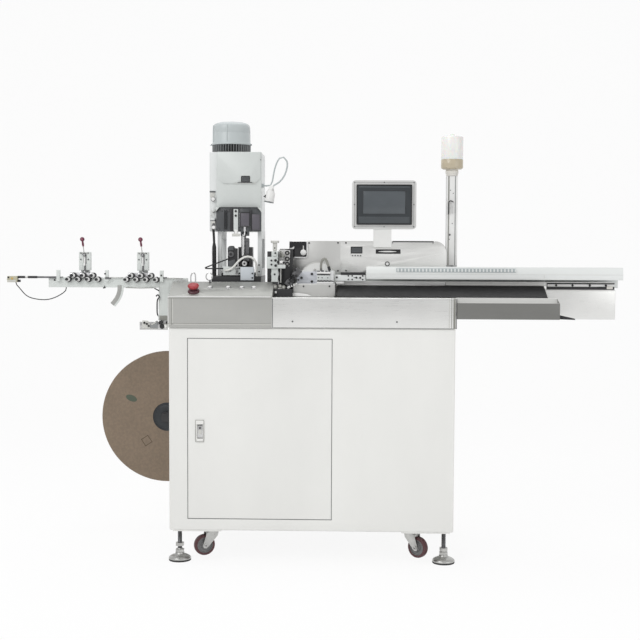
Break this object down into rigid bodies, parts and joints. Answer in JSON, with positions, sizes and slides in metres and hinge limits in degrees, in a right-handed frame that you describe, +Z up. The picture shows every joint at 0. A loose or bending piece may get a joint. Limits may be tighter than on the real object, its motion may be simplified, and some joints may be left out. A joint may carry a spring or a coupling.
{
  "type": "wire stripping crimping machine",
  "caption": "Free-standing wire stripping and crimping machine: cabinet with wire straightener, feed, crimping press, transfer gripper, belt conveyor, control box and touch panel.",
  "frame": {"origin": "middle of the whole machine seen from above, on the floor under the levelling feet", "axes": "+X to the right along the conveyor seen from the front, +Y to the back, +Z up; the front with the door faces -Y"},
  "size_m": [2.2, 0.7136, 1.5743],
  "materials": {
    "white_paint": "semi-gloss powder coat",
    "press_white": "smooth enamel",
    "dark_casting": "blackened and machined",
    "stainless": "brushed sheet",
    "steel": "ground",
    "zinc": "zinc plated",
    "aluminium": "clear anodised",
    "cowl_grey": "light grey enamel",
    "tyre_maroon": "moulded nylon",
    "red_plastic": "moulded",
    "belt": "matt woven-backed belt",
    "cup_plastic": "translucent moulded",
    "cardboard": "grey-brown board",
    "hose_white": "flexible tube",
    "cable_black": "flexible jacket",
    "panel_dark": "moulded bezel with a glass screen",
    "panel_white": "moulded housing",
    "door_paint": "semi-gloss powder coat"
  },
  "bodies": {
    "base": {"cabinet_shell": "white_paint", "table_pan": "stainless", "control_console": "stainless", "press_frame": "press_white", "press_cover": "press_white", "press_motor": "cowl_grey", "ram_guide": "dark_casting", "applicator_frame": "steel", "cable_sleeve": "cable_black", "air_hose": "hose_white", "work_lamp": "press_white", "feed_tower": "dark_casting", "transfer_bracket": "stainless", "control_box": "stainless", "touch_panel_housing": "panel_white", "touch_panel": "panel_dark", "profile_pole": "aluminium", "oil_reservoir": "cup_plastic", "conveyor_beam": "white_paint", "conveyor_belt": "belt", "rail_cover": "white_paint", "catch_tray": "stainless", "straightener_arm": "white_paint", "sensor_cable": "cable_black", "reel_bar": "steel", "terminal_guide": "steel"},
    "door": {"cabinet_door": "door_paint"},
    "latch_paddle": {"door_latch_paddle": "steel"},
    "foot_front_left": {"levelling_foot_front_left": "zinc"},
    "foot_front_right": {"levelling_foot_front_right": "zinc"},
    "foot_back_left": {"levelling_foot_back_left": "zinc"},
    "foot_back_right": {"levelling_foot_back_right": "zinc"},
    "castor_swivel_front_left": {"castor_fork_front_left": "zinc"},
    "castor_wheel_front_left": {"castor_wheel_front_left": "tyre_maroon"},
    "castor_swivel_front_right": {"castor_fork_front_right": "zinc"},
    "castor_wheel_front_right": {"castor_wheel_front_right": "tyre_maroon"},
    "castor_swivel_back_left": {"castor_fork_back_left": "zinc"},
    "castor_wheel_back_left": {"castor_wheel_back_left": "tyre_maroon"},
    "castor_swivel_back_right": {"castor_fork_back_right": "zinc"},
    "castor_wheel_back_right": {"castor_wheel_back_right": "tyre_maroon"},
    "emergency_stop": {"emergency_stop_button": "red_plastic"},
    "push_button_1": {"push_button_1": "steel"},
    "push_button_2": {"push_button_2": "steel"},
    "push_button_3": {"push_button_3": "steel"},
    "push_button_4": {"push_button_4": "steel"},
    "box_button": {"box_button": "steel"},
    "ram": {"press_ram": "dark_casting", "applicator_slide": "steel"},
    "feed_wheel_upper": {"feed_wheel_upper": "steel"},
    "feed_wheel_lower": {"feed_wheel_lower": "steel"},
    "feed_knob": {"feed_pressure_knob": "aluminium"},
    "blade_upper": {"blade_block_upper": "steel"},
    "blade_lower": {"blade_block_lower": "steel"},
    "gripper": {"swing_gripper": "aluminium"},
    "carriage": {"pull_out_carriage": "aluminium"},
    "straightener_lever_1": {"straightener_lever_1": "steel"},
    "straightener_head_1": {"straightener_head_1": "steel"},
    "straightener_lever_2": {"straightener_lever_2": "steel"},
    "straightener_head_2": {"straightener_head_2": "steel"},
    "reel": {"terminal_reel": "cardboard"}
  },
  "joints": [
    {"name": "door_hinge", "type": "hinge", "parent": "base", "child": "door", "pos_m": [0.071, -0.3432, 0.48], "axis": [0, 0, 1], "range_deg": [0, 110]},
    {"name": "latch_paddle_hinge", "type": "hinge", "parent": "door", "child": "latch_paddle", "pos_m": [-0.391, -0.3392, 0.451], "axis": [1, 0, 0], "range_deg": [0, 40], "stiffness_Nm_per_rad": 0.06, "springref_deg": -11.46},
    {"name": "foot_turn_front_left", "type": "hinge", "parent": "base", "child": "foot_front_left", "pos_m": [-0.47, -0.2912, 0.06], "axis": [0, 0, 1], "continuous": true},
    {"name": "foot_turn_front_right", "type": "hinge", "parent": "base", "child": "foot_front_right", "pos_m": [0.47, -0.2912, 0.06], "axis": [0, 0, 1], "continuous": true},
    {"name": "foot_turn_back_left", "type": "hinge", "parent": "base", "child": "foot_back_left", "pos_m": [-0.47, 0.2048, 0.06], "axis": [0, 0, 1], "continuous": true},
    {"name": "foot_turn_back_right", "type": "hinge", "parent": "base", "child": "foot_back_right", "pos_m": [0.47, 0.2048, 0.06], "axis": [0, 0, 1], "continuous": true},
    {"name": "castor_swivel_front_left", "type": "hinge", "parent": "base", "child": "castor_swivel_front_left", "pos_m": [-0.358, -0.2832, 0.115], "axis": [0, 0, 1], "continuous": true},
    {"name": "castor_roll_front_left", "type": "hinge", "parent": "castor_swivel_front_left", "child": "castor_wheel_front_left", "pos_m": [-0.38211, -0.29294, 0.057], "axis": [0.3746, -0.9272, 0], "continuous": true},
    {"name": "castor_swivel_front_right", "type": "hinge", "parent": "base", "child": "castor_swivel_front_right", "pos_m": [0.358, -0.2832, 0.115], "axis": [0, 0, 1], "continuous": true},
    {"name": "castor_roll_front_right", "type": "hinge", "parent": "castor_swivel_front_right", "child": "castor_wheel_front_right", "pos_m": [0.37876, -0.29885, 0.057], "axis": [0.6018, 0.7986, 0], "continuous": true},
    {"name": "castor_swivel_back_left", "type": "hinge", "parent": "base", "child": "castor_swivel_back_left", "pos_m": [-0.358, 0.1968, 0.115], "axis": [0, 0, 1], "continuous": true},
    {"name": "castor_roll_back_left", "type": "hinge", "parent": "castor_swivel_back_left", "child": "castor_wheel_back_left", "pos_m": [-0.38211, 0.20654, 0.057], "axis": [-0.3746, -0.9272, 0], "continuous": true},
    {"name": "castor_swivel_back_right", "type": "hinge", "parent": "base", "child": "castor_swivel_back_right", "pos_m": [0.358, 0.1968, 0.115], "axis": [0, 0, 1], "continuous": true},
    {"name": "castor_roll_back_right", "type": "hinge", "parent": "castor_swivel_back_right", "child": "castor_wheel_back_right", "pos_m": [0.38052, 0.2098, 0.057], "axis": [-0.5, 0.866, 0], "continuous": true},
    {"name": "emergency_stop_press", "type": "slide", "parent": "base", "child": "emergency_stop", "axis": [0, 0.4161, -0.9093], "range_m": [0, 0.005], "stiffness_N_per_m": 600, "springref_m": -0.003},
    {"name": "push_button_1_press", "type": "slide", "parent": "base", "child": "push_button_1", "axis": [0, 0.4161, -0.9093], "range_m": [0, 0.003], "stiffness_N_per_m": 300, "springref_m": -0.002},
    {"name": "push_button_2_press", "type": "slide", "parent": "base", "child": "push_button_2", "axis": [0, 0.4161, -0.9093], "range_m": [0, 0.003], "stiffness_N_per_m": 300, "springref_m": -0.002},
    {"name": "push_button_3_press", "type": "slide", "parent": "base", "child": "push_button_3", "axis": [0, 0.4161, -0.9093], "range_m": [0, 0.003], "stiffness_N_per_m": 300, "springref_m": -0.002},
    {"name": "push_button_4_press", "type": "slide", "parent": "base", "child": "push_button_4", "axis": [0, 0.4161, -0.9093], "range_m": [0, 0.003], "stiffness_N_per_m": 300, "springref_m": -0.002},
    {"name": "box_button_press", "type": "slide", "parent": "base", "child": "box_button", "axis": [0, 1, 0], "range_m": [0, 0.003], "stiffness_N_per_m": 300, "springref_m": -0.002},
    {"name": "ram_stroke", "type": "slide", "parent": "base", "child": "ram", "axis": [0, 0, -1], "range_m": [0, 0.03]},
    {"name": "feed_wheel_upper_spin", "type": "hinge", "parent": "base", "child": "feed_wheel_upper", "pos_m": [-0.135, -0.2312, 1.0228], "axis": [0, 1, 0], "continuous": true},
    {"name": "feed_wheel_lower_spin", "type": "hinge", "parent": "base", "child": "feed_wheel_lower", "pos_m": [-0.135, -0.2312, 0.9912], "axis": [0, 1, 0], "continuous": true},
    {"name": "feed_knob_turn", "type": "hinge", "parent": "base", "child": "feed_knob", "pos_m": [-0.135, -0.2502, 1.103], "axis": [0, 0, 1], "continuous": true},
    {"name": "blade_upper_close", "type": "slide", "parent": "base", "child": "blade_upper", "axis": [-0.6157, 0, -0.788], "range_m": [0, 0.004]},
    {"name": "blade_lower_close", "type": "slide", "parent": "base", "child": "blade_lower", "axis": [0.6157, 0, 0.788], "range_m": [0, 0.004]},
    {"name": "gripper_swing", "type": "hinge", "parent": "base", "child": "gripper", "pos_m": [0.064, -0.2312, 0.99], "axis": [0, 0, 1], "range_deg": [0, 25]},
    {"name": "carriage_travel", "type": "slide", "parent": "base", "child": "carriage", "axis": [1, 0, 0], "range_m": [0, 0.76]},
    {"name": "straightener_lever_1_turn", "type": "hinge", "parent": "base", "child": "straightener_lever_1", "pos_m": [-0.819, -0.2352, 1.088], "axis": [0, 1, 0], "range_deg": [0, 90]},
    {"name": "straightener_head_1_lift", "type": "slide", "parent": "base", "child": "straightener_head_1", "axis": [0, 0, 1], "range_m": [0, 0.004]},
    {"name": "straightener_lever_2_turn", "type": "hinge", "parent": "base", "child": "straightener_lever_2", "pos_m": [-0.61, -0.2352, 1.088], "axis": [0, 1, 0], "range_deg": [0, 90]},
    {"name": "straightener_head_2_lift", "type": "slide", "parent": "base", "child": "straightener_head_2", "axis": [0, 0, 1], "range_m": [0, 0.004]},
    {"name": "reel_spin", "type": "hinge", "parent": "base", "child": "reel", "pos_m": [-0.603, 0.3088, 0.434], "axis": [0, 1, 0], "continuous": true}
  ],
  "couplings": [
    {"joint": "feed_wheel_lower_spin", "follows": "feed_wheel_upper_spin", "ratio": -1},
    {"joint": "blade_lower_close", "follows": "blade_upper_close", "ratio": 1},
    {"joint": "straightener_lever_1_turn", "follows": "straightener_head_1_lift", "rad_per_m": 390},
    {"joint": "straightener_lever_2_turn", "follows": "straightener_head_2_lift", "rad_per_m": 390}
  ]
}
